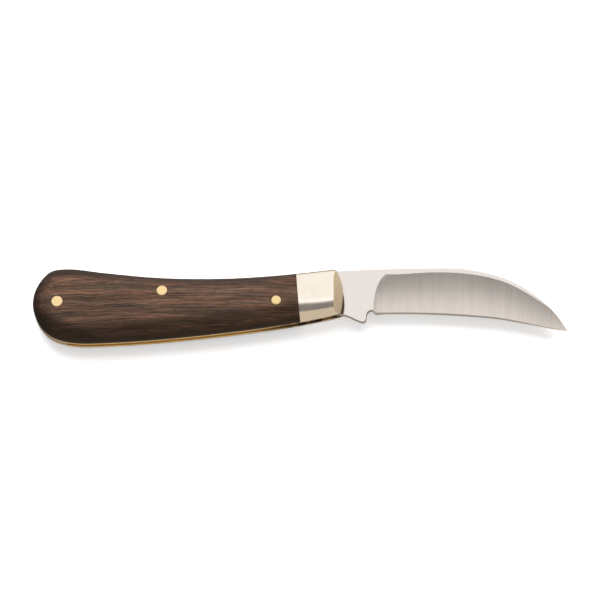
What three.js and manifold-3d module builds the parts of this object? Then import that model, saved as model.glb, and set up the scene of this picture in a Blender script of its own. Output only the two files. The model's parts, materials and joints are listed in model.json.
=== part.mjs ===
// Folding grafting knife: one hooked, hollow-ground blade in a two-liner slip-joint handle.
//
// Units are millimetres, +Z up. The knife lies open on its left side: the blade points to +X, its
// spine to +Y and its cutting edge to -Y. The pieces are drawn round the pivot pin's axis, with the
// middle of the knife's thickness at z = 0, and the whole is then moved so that the origin is the
// middle of the footprint, on the surface that the knife lies on.
//
// "Right" is the +Z side and "left" the -Z side, as seen by someone who holds the knife with the
// blade pointing away and the spine up. Each handle side is drawn once, for the right, and mirrored.

import * as THREE from "three";
import { mergeVertices } from "three/addons/utils/BufferGeometryUtils.js";
import Module from "manifold-3d";

const wasm = await Module();
wasm.setup();

// ---- Driving dimensions ------------------------------------------------------------------------

// Across the knife, from the middle of the blade outwards.
const BLADE_HALF = 1.1;
const SLOT_HALF = 1.15;
const LINER_THICKNESS = 0.9;
const DOME_RISE = 3.75;
const DOME_ROUNDING = 7.2;
const LINER_OUTER = SLOT_HALF + LINER_THICKNESS;
const CROWN = LINER_OUTER + DOME_RISE;

// Handle ends and joints, along X from the pivot.
const FRONT_TOP = new THREE.Vector2(4.5, 10);
const FRONT_BOTTOM = new THREE.Vector2(6.5, -4.5);
const FRONT_OVERRUN = 14;
const FRONT_ARC = { radius: 18, apexX: 6.9, centreY: 0.6 };
const LINER_FRONT_ARC = { radius: 15, apexX: 7.2, centreY: -1.5 };
const BOLSTER_JOINT = { x: -7.5, y: 0.5, slantDeg: 5.4, gap: 0.04 };
const BOLSTER_FACET = { radius: 33.5, apexX: 6.73, centreY: 1.37, slopeDeg: 53.5 };
const FRONT_EDGE_POWER = 3;

// The tang's flats, which the spring presses on: the same distance from the pivot in each position.
const TANG_FLAT = 4.5;
const TANG_CORNER_RADIUS = 1.3;
const OPEN_FLAT_DEG = 96.4;
const FOLD_DEG = 172.2;
const SHOULDER_X = 2.9;
const SPRING_CLEARANCE = 0.04;

// Hollow grind, as half thicknesses of the blade. The hollow has its full depth where the ground band
// has its full width.
const EDGE_HALF = 0.03;
const BEVEL_HALF = 0.17;
const BEVEL_SHARE = 0.04;
const HOLLOW_DEPTH = 0.36;
const HOLLOW_WIDTH = 13.5;

// The blade thins towards its tip, from "startX" on.
const TIP_HALF = 0.2;
const TAPER = { startX: 48, length: 31, power: 0.75, stations: 14 };

// Pins: radius, and the place of each axis.
const PIVOT = { x: 0, y: 0, radius: 2 };
const MIDDLE_PIN = { x: -51, y: 2.1, radius: 1.65 };
const BUTT_PIN = { x: -84.5, y: -1.6, radius: 1.75 };
const FRONT_PIN = { x: -14.4, y: -1.2, radius: 1.5 };
const BOLSTER_RIVETS = {
  upper: { x: -4.4, y: 5, radius: 0.8 },
  lower: { x: -3.6, y: -4, radius: 0.8 },
};
const PIN_CLEARANCE = 0.02;
const PIVOT_CLEARANCE = 0.05;

// Fineness of the facets.
const CURVE_STEPS = 8;
const DOME_RINGS = 7;
const PIN_SIDES = 24;
const GRIND_STATIONS = 26;

// Larger than the knife each way, for the blocks that cut it.
const FAR_OFF = 120;

// ---- Materials ---------------------------------------------------------------------------------

const wood = { color: 0x4a382d, roughness: 0.45, metalness: 0 };
const brass = { color: 0xd9b45f, roughness: 0.3, metalness: 1 };
const nickelSilver = { color: 0xddd0b0, roughness: 0.18, metalness: 1 };
const bladeSteel = { color: 0xd6d2cc, roughness: 0.3, metalness: 1 };
const springSteel = { color: 0xb9b7b2, roughness: 0.4, metalness: 1 };

// ---- Shared geometry ---------------------------------------------------------------------------

const radians = THREE.MathUtils.degToRad;

// A closed three.js geometry as a solid that can be joined and cut.
function solid(geometry) {
  const bare = geometry.clone().deleteAttribute("normal").deleteAttribute("uv");
  const merged = mergeVertices(bare, 1e-5);
  return new wasm.Manifold(
    new wasm.Mesh({
      numProp: 3,
      vertProperties: merged.attributes.position.array,
      triVerts: new Uint32Array(merged.index.array),
    }),
  );
}

function geometryOf(manifold) {
  const { vertProperties, triVerts } = manifold.getMesh();
  const geometry = new THREE.BufferGeometry();
  geometry.setAttribute("position", new THREE.BufferAttribute(vertProperties, 3));
  geometry.setIndex(new THREE.BufferAttribute(triVerts, 1));
  geometry.computeVertexNormals();
  return geometry;
}

function mesh(name, manifold, finish) {
  const made = new THREE.Mesh(geometryOf(manifold), new THREE.MeshStandardMaterial(finish));
  made.name = name;
  return made;
}

// A flat plate with the shape's outline, between two heights.
function plate(shape, low, high) {
  const geometry = new THREE.ExtrudeGeometry(shape, {
    depth: high - low,
    bevelEnabled: false,
    curveSegments: CURVE_STEPS,
  });
  return solid(geometry.translate(0, 0, low));
}

// A round bar along Z. A hole for a pin is the same bar with the clearance added to its radius.
function bar({ x, y, radius }, low, high, clearance = 0) {
  const geometry = new THREE.CylinderGeometry(
    radius + clearance,
    radius + clearance,
    high - low,
    PIN_SIDES,
  );
  return solid(geometry.rotateX(Math.PI / 2).translate(x, y, (low + high) / 2));
}

// Closes a stack of rings, all with the same number of points, into one solid. Each ring turns
// anticlockwise as seen from the last one, and "flatten" gives its points in its own plane.
function loft(rings, flatten) {
  const count = rings[0].length;
  const index = [];
  for (let ring = 0; ring + 1 < rings.length; ring++) {
    for (let i = 0; i < count; i++) {
      const a = ring * count + i;
      const b = ring * count + ((i + 1) % count);
      index.push(a, b, b + count, a, b + count, a + count);
    }
  }
  const cap = (ring) => THREE.ShapeUtils.triangulateShape(rings[ring].map(flatten), []);
  const last = rings.length - 1;
  for (const [a, b, c] of cap(0)) index.push(a, c, b);
  for (const face of cap(last)) index.push(...face.map((i) => last * count + i));
  const geometry = new THREE.BufferGeometry().setFromPoints(rings.flat());
  geometry.setIndex(index);
  return geometry;
}

// The same geometry on the other side of z = 0, with its faces turned to point outwards again.
function mirrored(geometry) {
  const copy = geometry.clone().scale(1, 1, -1);
  const index = copy.index.array;
  for (let i = 0; i < index.length; i += 3) [index[i], index[i + 1]] = [index[i + 1], index[i]];
  return copy;
}

// ---- Handle form -------------------------------------------------------------------------------

// Outline of the handle from its front top corner, back along the spring's edge, round the butt and
// forward along the blade's slot.
function handleOutline() {
  const outline = new THREE.Shape();
  outline.moveTo(FRONT_TOP.x, FRONT_TOP.y);
  outline.bezierCurveTo(-9.7, 8.3, -22.6, 6.8, -38, 6.8); // down to the waist
  outline.bezierCurveTo(-54, 6.8, -60, 7.8, -70, 8.8); // up towards the butt
  outline.bezierCurveTo(-74, 9.2, -77.5, 10.05, -81.5, 10.05);
  outline.bezierCurveTo(-84.1, 10.05, -86.7, 9.9, -88.4, 8.2); // butt, upper corner
  outline.bezierCurveTo(-90.2, 6.4, -92.6, 3.2, -92.6, -1.2);
  outline.bezierCurveTo(-92.6, -5.6, -89.9, -10.6, -86, -12.7); // butt, lower corner
  outline.bezierCurveTo(-83, -14.3, -78.3, -14.8, -74, -14.7); // deepest point
  outline.bezierCurveTo(-62, -14.4, -49.6, -13.3, -38, -12);
  outline.bezierCurveTo(-24, -10.4, -7, -8.2, FRONT_BOTTOM.x, FRONT_BOTTOM.y);
  outline.lineTo(FRONT_OVERRUN, FRONT_BOTTOM.y);
  outline.lineTo(FRONT_OVERRUN, FRONT_TOP.y);
  outline.closePath();
  return outline;
}

// Line along the middle of the handle, from the middle of the butt to the front. Its control points
// are evenly spaced in X, so the curve's parameter runs evenly in X too.
const MIDLINE_BUTT_X = -81.5;
const MIDLINE_FRONT_X = 8;
const MIDLINE_HEIGHTS = [-2.1, -4.4, -2.6, 2.75];

function midlinePoint(x) {
  const along = THREE.MathUtils.clamp(x, MIDLINE_BUTT_X, MIDLINE_FRONT_X);
  const t = (along - MIDLINE_BUTT_X) / (MIDLINE_FRONT_X - MIDLINE_BUTT_X);
  const [a, b, c, d] = MIDLINE_HEIGHTS;
  const s = 1 - t;
  return new THREE.Vector2(along, s * s * s * a + 3 * s * s * t * b + 3 * s * t * t * c + t * t * t * d);
}

// Power of the curve over the handle's edge: 2 is an ellipse, and more is squarer. The lower edge turns
// squarer from the bolster's joint to its front.
function edgePower({ x, y }) {
  const forward = (x - BOLSTER_JOINT.x) / (FRONT_BOTTOM.x - BOLSTER_JOINT.x);
  return y > 0 ? 2 : THREE.MathUtils.lerp(2, FRONT_EDGE_POWER, THREE.MathUtils.clamp(forward, 0, 1));
}

// The dome over the right liner: the outline draws in towards the midline as it rises, along a
// quarter of an ellipse or of the squarer curve, and leaves a narrow flat crown.
function domeGeometry() {
  const contour = handleOutline().getPoints(CURVE_STEPS);
  contour.pop(); // the last point repeats the first
  const rings = [];
  for (let ring = 0; ring <= DOME_RINGS; ring++) {
    const turn = ((ring / DOME_RINGS) * Math.PI) / 2;
    rings.push(
      contour.map((point) => {
        const bend = 2 / edgePower(point);
        const inset = DOME_ROUNDING * (1 - Math.cos(turn) ** bend);
        const height = LINER_OUTER + DOME_RISE * Math.sin(turn) ** bend;
        const inward = midlinePoint(point.x).sub(point).setLength(inset);
        return new THREE.Vector3(point.x + inward.x, point.y + inward.y, height);
      }),
    );
  }
  return loft(rings, (p) => new THREE.Vector2(p.x, p.y));
}

// Everything behind a rounded front end.
function behindArc({ radius, apexX, centreY }, low, high) {
  const centreX = apexX - radius;
  const reach = 0.9 * Math.PI;
  const shape = new THREE.Shape();
  shape.absarc(centreX, centreY, radius, -reach / 2, reach / 2, false);
  shape.lineTo(-FAR_OFF, FAR_OFF);
  shape.lineTo(-FAR_OFF, -FAR_OFF);
  shape.closePath();
  const geometry = new THREE.ExtrudeGeometry(shape, {
    depth: high - low,
    bevelEnabled: false,
    curveSegments: 5 * CURVE_STEPS,
  });
  return solid(geometry.translate(0, 0, low));
}

// A block whose front face (side -1) or rear face (side 1) is the joint of scale and bolster.
function jointBlock(side) {
  const { x, y, slantDeg, gap } = BOLSTER_JOINT;
  const geometry = new THREE.BoxGeometry(FAR_OFF, FAR_OFF, FAR_OFF);
  geometry.translate((side * (FAR_OFF + gap)) / 2, 0, 0);
  return solid(geometry.rotateZ(radians(slantDeg)).translate(x, y, 0));
}

// Everything behind the slanted facet across the front of a bolster: a large cylinder whose surface
// leans back over the handle as it rises.
function behindBolsterFacet() {
  const { radius, apexX, centreY, slopeDeg } = BOLSTER_FACET;
  const slope = radians(slopeDeg);
  const geometry = new THREE.CylinderGeometry(radius, radius, FAR_OFF, 12 * CURVE_STEPS);
  geometry.rotateX(Math.PI / 2).translate(-radius, 0, 0);
  geometry.rotateY(slope - Math.PI / 2).translate(apexX, centreY, LINER_OUTER);
  return solid(geometry);
}

// ---- Handle side pieces ------------------------------------------------------------------------

const outlinePlate = (low, high) => plate(handleOutline(), low, high);
const rightDome = solid(domeGeometry());
const wholeForm = rightDome
  .add(outlinePlate(-LINER_OUTER, LINER_OUTER))
  .add(solid(mirrored(domeGeometry())));

function cutHoles(piece, pins, clearance = PIN_CLEARANCE) {
  return pins.reduce((rest, pin) => rest.subtract(bar(pin, -CROWN - 1, CROWN + 1, clearance)), piece);
}

const scalePins = [MIDDLE_PIN, BUTT_PIN, FRONT_PIN];
const bolsterPins = [PIVOT, ...Object.values(BOLSTER_RIVETS)];

function liner() {
  const blank = outlinePlate(SLOT_HALF, LINER_OUTER).intersect(behindArc(LINER_FRONT_ARC, 0, CROWN));
  return cutHoles(blank, [...scalePins, ...bolsterPins]);
}

function scale() {
  return cutHoles(rightDome.intersect(jointBlock(-1)), scalePins);
}

// The rivets stop inside the bolster, so their holes are blind.
const RIVET_TOP = 4.2;

function bolster() {
  let blank = rightDome.intersect(jointBlock(1));
  blank = blank.intersect(behindArc(FRONT_ARC, 0, CROWN + 1)).intersect(behindBolsterFacet());
  for (const rivet of Object.values(BOLSTER_RIVETS)) {
    blank = blank.subtract(bar(rivet, 0, RIVET_TOP + PIN_CLEARANCE, PIN_CLEARANCE));
  }
  return cutHoles(blank, [PIVOT]);
}

const rivet = (place) => bar(place, SLOT_HALF, RIVET_TOP);
const frontPin = () => bar(FRONT_PIN, SLOT_HALF, CROWN + 1).intersect(wholeForm);
const throughPin = (place) => bar(place, -CROWN - 1, CROWN + 1).intersect(wholeForm);

// ---- Back spring -------------------------------------------------------------------------------

// Height at x of the line that lies "distance" from the pivot, parallel to the tang's open flat.
function openFlatHeight(x, distance) {
  const angle = radians(OPEN_FLAT_DEG);
  return (distance - x * Math.cos(angle)) / Math.sin(angle);
}

// The spring fills the slot along the top of the handle and round the butt. Its nose presses on the
// tang, it is hollowed behind the nose for the folded blade's kick, thickens round the middle pin,
// and ends in a solid tail.
function backSpring() {
  const noseFront = SHOULDER_X - SPRING_CLEARANCE;
  const noseRear = -3.3;
  const bite = TANG_FLAT + SPRING_CLEARANCE;
  const region = new THREE.Shape();
  region.moveTo(noseFront, FAR_OFF);
  region.lineTo(-FAR_OFF, FAR_OFF);
  region.lineTo(-FAR_OFF, -FAR_OFF);
  region.lineTo(-81.3, -FAR_OFF);
  region.lineTo(-81.3, 0.5); // wall of the tail, clear of the folded blade's tip
  region.bezierCurveTo(-81.3, 3.5, -80, 4.6, -77, 4.6);
  region.bezierCurveTo(-72, 4.6, -66, 4, -59, 3.4);
  region.bezierCurveTo(-56, 3.1, -55.5, -0.5, -51, -0.5); // swelling round the middle pin
  region.bezierCurveTo(-46.5, -0.5, -46, 3.1, -43, 3.2);
  region.bezierCurveTo(-38, 3.4, -32, 3.7, -22, 4.9);
  region.bezierCurveTo(-17, 5.5, -13, 5.65, -10, 5.5); // hollow over the kick
  region.bezierCurveTo(-6.5, 5.3, -5.5, 3.95, noseRear, openFlatHeight(noseRear, bite));
  region.lineTo(noseFront, openFlatHeight(noseFront, bite));
  region.closePath();
  const blank = outlinePlate(-SLOT_HALF, SLOT_HALF).intersect(plate(region, -CROWN, CROWN));
  return cutHoles(blank, [MIDDLE_PIN, BUTT_PIN]);
}

// ---- Blade -------------------------------------------------------------------------------------

const HEEL = new THREE.Vector2(17.3, -4.4);
const TIP = new THREE.Vector2(78.4, -9.9);

// The cutting edge from heel to tip, as two curves end to end.
function edgeCurve() {
  const edge = new THREE.Path();
  edge.moveTo(HEEL.x, HEEL.y);
  edge.bezierCurveTo(28.3, -3.9, 43.2, -4.6, 54.1, -5.7);
  edge.bezierCurveTo(61, -6.4, 71.6, -9, TIP.x, TIP.y);
  return edge;
}

// The upper limit of the hollow grind. Past x = 73 it runs off the back of the blade.
function grindTopCurve() {
  const top = new THREE.Path();
  top.moveTo(20, 8.75);
  top.bezierCurveTo(25.5, 8.4, 30, 9.35, 37, 9.35);
  top.bezierCurveTo(44.1, 9.35, 50.4, 8.7, 57, 6.6);
  top.bezierCurveTo(63.5, 4.5, 71, -1.2, 80, -7.5);
  return top;
}

// Adds the arc between two flats of the tang: each flat lies TANG_FLAT from the pivot.
function tangCorner(outline, fromDeg, toDeg) {
  const half = radians((toDeg - fromDeg) / 2);
  const middle = radians((toDeg + fromDeg) / 2);
  const reach = (TANG_FLAT - TANG_CORNER_RADIUS) / Math.cos(half);
  const x = reach * Math.cos(middle);
  const y = reach * Math.sin(middle);
  outline.absarc(x, y, TANG_CORNER_RADIUS, radians(fromDeg), radians(toDeg), false);
}

function bladeOutline() {
  const closedFlatDeg = OPEN_FLAT_DEG + FOLD_DEG;
  const halfStopDeg = OPEN_FLAT_DEG + FOLD_DEG / 2;
  const outline = new THREE.Shape();
  outline.moveTo(HEEL.x, HEEL.y);
  outline.curves.push(...edgeCurve().curves);
  outline.currentPoint.copy(TIP);
  outline.bezierCurveTo(74.7, -3, 68.6, 1.9, 64.1, 4.5); // hooked back
  outline.bezierCurveTo(59.3, 7.3, 55.4, 8.6, 50, 9.7);
  outline.bezierCurveTo(46, 10.5, 42, 10.8, 38, 10.75);
  outline.bezierCurveTo(27, 10.65, 14, 10.4, SHOULDER_X, 9.6); // straight part of the spine
  outline.lineTo(SHOULDER_X, openFlatHeight(SHOULDER_X, TANG_FLAT));
  tangCorner(outline, OPEN_FLAT_DEG, halfStopDeg);
  tangCorner(outline, halfStopDeg, closedFlatDeg);
  outline.lineTo(6.6, -4.66);
  outline.quadraticCurveTo(7.7, -4.7, 9, -5.35); // kick
  outline.lineTo(11.7, -6.65);
  outline.quadraticCurveTo(12.5, -7.1, 13.3, -7.05);
  outline.quadraticCurveTo(14.2, -7, 14.25, -5.2);
  outline.bezierCurveTo(14.3, -3.9, 15, -3.15, 16.2, -3.1); // choil
  outline.closePath();
  return outline;
}

// Half thickness of the blade at x before it is ground.
function bladeHalf(x) {
  const along = THREE.MathUtils.clamp((x - TAPER.startX) / TAPER.length, 0, 1);
  return TIP_HALF + (BLADE_HALF - TIP_HALF) * (1 - along ** 2) ** TAPER.power;
}

// What is taken off the right face to thin the blade towards its tip.
function taperCutter() {
  const rings = [];
  for (let station = 0; station <= TAPER.stations; station++) {
    const x = TAPER.startX + (station / TAPER.stations) * TAPER.length;
    rings.push([
      new THREE.Vector3(x, -FAR_OFF, bladeHalf(x)),
      new THREE.Vector3(x, FAR_OFF, bladeHalf(x)),
      new THREE.Vector3(x, FAR_OFF, 2 * BLADE_HALF),
      new THREE.Vector3(x, -FAR_OFF, 2 * BLADE_HALF),
    ]);
  }
  return loft(rings, (p) => new THREE.Vector2(p.y, p.z));
}

// Half thickness of the ground blade, "share" of the way from the edge to the top of the grind, where
// the blade was "half" thick. A round wheel cuts a shallower hollow where the ground band is narrower.
function groundHalf(share, width, half) {
  if (share < BEVEL_SHARE) {
    return EDGE_HALF + (BEVEL_HALF - EDGE_HALF) * Math.max(share / BEVEL_SHARE, 0);
  }
  const across = (share - BEVEL_SHARE) / (1 - BEVEL_SHARE);
  const straight = BEVEL_HALF + (half - BEVEL_HALF) * across;
  const hollow = HOLLOW_DEPTH * Math.min(width / HOLLOW_WIDTH, 1) ** 2;
  return straight - 4 * hollow * across * (1 - across);
}

// What the grinding wheel takes off the right face. Each ring is one section across the blade, from
// below the edge to above the top of the grind; the first few lean with the curved plunge line.
function grindCutter() {
  const shares = [-0.3, 0, BEVEL_SHARE, 0.14, 0.26, 0.38, 0.5, 0.62, 0.74, 0.86, 1, 1.12];
  const edge = edgeCurve();
  const top = grindTopCurve();
  const plungeBulge = 1.6; // the plunge line curves towards the handle
  const plungeFade = 12; // and the sections straighten out within a few millimetres
  const overrun = 0.06;
  const rings = [];
  for (let station = 0; station <= GRIND_STATIONS; station++) {
    const along = Math.min(station / (GRIND_STATIONS - 1), 1);
    const low = edge.getPoint(along);
    const high = top.getPoint(along);
    if (station === GRIND_STATIONS) {
      const lead = TIP.clone().sub(edge.getPoint(1 - overrun));
      low.add(lead);
      high.add(lead);
    }
    const width = low.distanceTo(high);
    const bulge = plungeBulge * (1 - along) ** plungeFade;
    const surface = shares.map((share) => {
      const at = low.clone().lerp(high, share);
      at.x -= bulge * (1 - (2 * share - 1) ** 2);
      return new THREE.Vector3(at.x, at.y, groundHalf(share, width, bladeHalf(at.x)));
    });
    const lid = [surface[surface.length - 1], surface[0]].map((p) => p.clone().setZ(2 * BLADE_HALF));
    rings.push([...surface, ...lid]);
  }
  return loft(rings, (p) => new THREE.Vector2(p.y, p.z));
}

// The nail nick on the left face: the shallow mark of a thin disc, near the spine.
function nailNick() {
  const disc = { radius: 26, thickness: 1.5, x: 36, y: 7.6, depth: 0.75, leanDeg: 24 };
  const geometry = new THREE.CylinderGeometry(disc.radius, disc.radius, disc.thickness, 160);
  geometry.translate(0, 0, -disc.radius).rotateX(radians(-disc.leanDeg));
  return solid(geometry.translate(disc.x, disc.y, -BLADE_HALF + disc.depth));
}

function blade() {
  let blank = plate(bladeOutline(), -BLADE_HALF, BLADE_HALF);
  for (const cutter of [taperCutter(), grindCutter()]) {
    blank = blank.subtract(solid(cutter)).subtract(solid(mirrored(cutter)));
  }
  return blank.subtract(nailNick()).subtract(bar(PIVOT, -CROWN, CROWN, PIVOT_CLEARANCE));
}

// ---- Assembly ----------------------------------------------------------------------------------

function handleSide(side, mirror) {
  const group = new THREE.Group();
  group.add(mesh(`${side}_liner`, liner(), brass));
  group.add(mesh(`${side}_bolster`, bolster(), nickelSilver));
  group.add(mesh(`${side}_scale`, scale(), wood));
  group.add(mesh(`${side}_front_pin`, frontPin(), brass));
  for (const [place, where] of Object.entries(BOLSTER_RIVETS)) {
    group.add(mesh(`${side}_bolster_rivet_${place}`, rivet(where), nickelSilver));
  }
  if (mirror) group.scale.z = -1;
  return group;
}

const assembly = new THREE.Group();
assembly.add(handleSide("right", false));
assembly.add(handleSide("left", true));
assembly.add(mesh("back_spring", backSpring(), springSteel));
assembly.add(mesh("pivot_pin", throughPin(PIVOT), nickelSilver));
assembly.add(mesh("middle_pin", throughPin(MIDDLE_PIN), brass));
assembly.add(mesh("butt_pin", throughPin(BUTT_PIN), brass));
assembly.add(mesh("blade", blade(), bladeSteel));

const box = new THREE.Box3().setFromObject(assembly);
const centre = box.getCenter(new THREE.Vector3());
assembly.position.set(-centre.x, -centre.y, -box.min.z);

const knife = new THREE.Group();
knife.add(assembly);

export default knife;
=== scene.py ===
"""The looks of the folding grafting knife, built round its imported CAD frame.

The pieces are drawn in millimetres round the pivot pin's axis, as in the CAD, with the middle of the
knife's thickness at z = 0, and put into the frame (metres) by one transform at the end of each piece.
The pivot, the thickness of each layer and the pins come from the frame. "Right" is +Z, "left" is -Z.
"""
import json
import math

import bmesh
import bpy
import numpy as np
from mathutils import Matrix, Vector


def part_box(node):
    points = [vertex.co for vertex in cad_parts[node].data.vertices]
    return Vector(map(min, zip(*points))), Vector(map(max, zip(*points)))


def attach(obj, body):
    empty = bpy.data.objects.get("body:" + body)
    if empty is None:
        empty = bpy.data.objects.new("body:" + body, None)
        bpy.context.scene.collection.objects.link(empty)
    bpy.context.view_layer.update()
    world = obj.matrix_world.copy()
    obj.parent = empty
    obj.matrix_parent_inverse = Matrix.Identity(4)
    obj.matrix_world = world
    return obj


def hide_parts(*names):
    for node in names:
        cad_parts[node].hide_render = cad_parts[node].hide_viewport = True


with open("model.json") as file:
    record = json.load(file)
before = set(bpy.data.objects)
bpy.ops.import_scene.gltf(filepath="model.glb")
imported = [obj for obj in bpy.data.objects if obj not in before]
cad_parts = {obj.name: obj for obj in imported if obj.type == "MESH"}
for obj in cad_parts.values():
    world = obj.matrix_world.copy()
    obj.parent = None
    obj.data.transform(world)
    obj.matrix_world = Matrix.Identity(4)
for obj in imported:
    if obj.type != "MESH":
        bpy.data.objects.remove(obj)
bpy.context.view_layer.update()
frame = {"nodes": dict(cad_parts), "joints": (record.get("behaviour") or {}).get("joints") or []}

# ---- Sizes, in millimetres ---------------------------------------------------------------------

MM = 0.001
PIVOT = Vector(frame["joints"][0]["pos_m"])


def node_box(node):
    """Lowest and highest corner of a CAD node, in millimetres from the pivot."""
    low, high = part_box(node)
    return (low - PIVOT) / MM, (high - PIVOT) / MM


def pin_circle(node):
    """Centre x, centre y and radius of an upright pin."""
    low, high = node_box(node)
    return (low.x + high.x) / 2, (low.y + high.y) / 2, (high.x - low.x) / 2


SLOT_HALF = node_box("right_liner")[0].z
LINER_OUTER = node_box("right_liner")[1].z
CROWN = node_box("right_scale")[1].z
BLADE_HALF = node_box("blade")[1].z

# The dome of scales and bolsters: how high it rises, and over what width from the outline inwards.
DOME_RISE = CROWN - LINER_OUTER
DOME_ROUNDING = 7.2

# The front end. The scale's blank runs on to the overrun before it is cut off at the slanted joint.
# The bolster and the liner end in arcs seen from the side, and the facet slants across the bolster.
FRONT_OVERRUN = 14.0
FRONT_ARC = {"radius": 18.0, "apex_x": 6.9, "centre_y": 0.6}
LINER_FRONT_ARC = {"radius": 15.0, "apex_x": 7.2, "centre_y": -1.5}
JOINT = {"x": -7.5, "y": 0.5, "slant": math.radians(5.4), "gap": 0.04}
FACET = {"radius": 33.5, "apex_x": 6.73, "centre_y": 1.37, "slope": math.radians(53.5)}
FRONT_EDGE_POWER = 3.0
CREASE_ROUNDING = 0.09

# The tang. Its flats lie this far from the pivot, with the open one square to the direction OPEN_FLAT,
# counted from the knife's length, and the spring's nose ends just short of the shoulder.
TANG_FLAT = 4.5
TANG_CORNER_RADIUS = 1.3
OPEN_FLAT = math.radians(96.4)
FOLD = math.radians(172.2)
SHOULDER_X = 2.9
SPRING_CLEARANCE = 0.04

# The ground part of the blade, and its taper towards the tip. "Half" is half the thickness there.
EDGE_HALF = 0.03
BEVEL_HALF = 0.17
BEVEL_SHARE = 0.04
HOLLOW_DEPTH = 0.36
HOLLOW_WIDTH = 13.5
PLUNGE_WIDTH = 3.6
TIP_HALF = 0.2
TAPER = {"start_x": 48.0, "length": 31.0, "power": 0.75}

EDGE_BREAK = 0.07
THIN_EDGE_BREAK = 0.05
HANDLE_STEP = 0.4
BLADE_STEP = 0.3

THROUGH_PINS = ("middle_pin", "butt_pin")
SCALE_PINS = (*THROUGH_PINS, "right_front_pin")
HIDDEN_RIVETS = [node for node in frame["nodes"] if "rivet" in node]
PIVOT_BURIED = 0.4
PIN_PROUD = 0.05
PIN_GAP = 0.07
BLADE_BORE_GAP = 0.05
DRILL_REACH = CROWN + 1

# ---- Curves ------------------------------------------------------------------------------------


def bezier(points, count=120):
    """Points along a cubic curve, without its last one."""
    a, b, c, d = (np.array(p, float) for p in points)
    t = np.linspace(0, 1, count, endpoint=False)[:, None]
    s = 1 - t
    return s**3 * a + 3 * s**2 * t * b + 3 * s * t**2 * c + t**3 * d


def chain(start, *curves):
    """Points along cubic curves end to end. Each curve is its two control points and its end."""
    parts = []
    for first, second, end in curves:
        parts.append(bezier([start, first, second, end]))
        start = end
    return np.vstack([*parts, [start]])


def arc(centre, radius, start, end, count=16):
    """Points along a circle's arc, both ends included."""
    angles = np.linspace(start, end, count)
    return np.column_stack([centre[0] + radius * np.cos(angles), centre[1] + radius * np.sin(angles)])


def circle(x, y, radius, sides=72):
    """The corners of a regular polygon that stands for a circle."""
    return arc((x, y), radius, 0, 2 * math.pi, sides + 1)[:-1]


def spaced(points, step):
    """The same line with its points evenly spaced."""
    points = np.asarray(points, float)
    along = np.concatenate([[0], np.cumsum(np.linalg.norm(np.diff(points, axis=0), axis=1))])
    count = max(2, round(along[-1] / step) + 1)
    at = np.linspace(0, along[-1], count)
    return np.column_stack([np.interp(at, along, points[:, i]) for i in range(2)])


# The handle's outline seen from the right, with the front end on the right-hand side.
HANDLE_TOP = chain(
    (4.5, 10),
    ((-9.7, 8.3), (-22.6, 6.8), (-38, 6.8)),
    ((-54, 6.8), (-60, 7.8), (-70, 8.8)),
    ((-74, 9.2), (-77.5, 10.05), (-81.5, 10.05)),
)
HANDLE_BUTT = chain(
    (-81.5, 10.05),
    ((-84.1, 10.05), (-86.7, 9.9), (-88.4, 8.2)),
    ((-90.2, 6.4), (-92.6, 3.2), (-92.6, -1.2)),
    ((-92.6, -5.6), (-89.9, -10.6), (-86, -12.7)),
    ((-83, -14.3), (-78.3, -14.8), (-74, -14.7)),
)
HANDLE_BOTTOM = chain(
    (-74, -14.7),
    ((-62, -14.4), (-49.6, -13.3), (-38, -12)),
    ((-24, -10.4), (-7, -8.2), (6.5, -4.5)),
)
FRONT_TOP_Y = HANDLE_TOP[0][1]
FRONT_BOTTOM_Y = HANDLE_BOTTOM[-1][1]


def top_y(x):
    """Height of the handle's upper outline."""
    return np.interp(x, HANDLE_TOP[::-1, 0], HANDLE_TOP[::-1, 1])


def bottom_y(x):
    """Height of the handle's lower outline."""
    return np.interp(x, HANDLE_BOTTOM[:, 0], HANDLE_BOTTOM[:, 1])


def handle_outline():
    """The handle's outline from its front top corner round the butt to its front bottom corner."""
    return spaced(np.vstack([HANDLE_TOP[:-1], HANDLE_BUTT[:-1], HANDLE_BOTTOM]), HANDLE_STEP)


def midline(x):
    """The point at x on the cubic curve along the middle of the handle, with control heights a to d."""
    butt_x, front_x = -81.5, 8.0
    a, b, c, d = -2.1, -4.4, -2.6, 2.75
    along = np.clip(x, butt_x, front_x)
    t = (along - butt_x) / (front_x - butt_x)
    s = 1 - t
    return np.column_stack([along, s**3 * a + 3 * s**2 * t * b + 3 * s * t**2 * c + t**3 * d])


def front_arc_x(y, arc_sizes=FRONT_ARC):
    """The rounded front end of a bolster, or of a liner with the liner's own sizes."""
    radius = arc_sizes["radius"]
    return arc_sizes["apex_x"] - radius + np.sqrt(radius**2 - (y - arc_sizes["centre_y"]) ** 2)


def facet_x(y, z):
    """The slanted facet across a bolster's front: a leaning cylinder."""
    radius, slope = FACET["radius"], FACET["slope"]
    sag = (radius - np.sqrt(radius**2 - (y - FACET["centre_y"]) ** 2)) / math.sin(slope)
    return FACET["apex_x"] - sag - (z - LINER_OUTER) / math.tan(slope)


def joint_x(y, side):
    """The joint of scale and bolster: side -1 is the scale's end, 1 the bolster's."""
    return JOINT["x"] - (y - JOINT["y"]) * math.tan(JOINT["slant"]) + side * JOINT["gap"] / 2


def dome_height(x, y):
    """Height of the handle's surface over a point away from the butt's rounding."""
    inwards = min(float(top_y(x)) - y, y - float(bottom_y(x)), DOME_ROUNDING)
    return LINER_OUTER + DOME_RISE * math.sqrt(1 - (1 - inwards / DOME_ROUNDING) ** 2)


# ---- Meshes ------------------------------------------------------------------------------------


def new_object(name, vertices, faces):
    """An object with a mesh of its own, in the scene."""
    mesh = bpy.data.meshes.new(name)
    mesh.from_pydata([tuple(map(float, v)) for v in vertices], [], faces)
    mesh.update()
    made = bpy.data.objects.new(name, mesh)
    bpy.context.scene.collection.objects.link(made)
    return made


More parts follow.
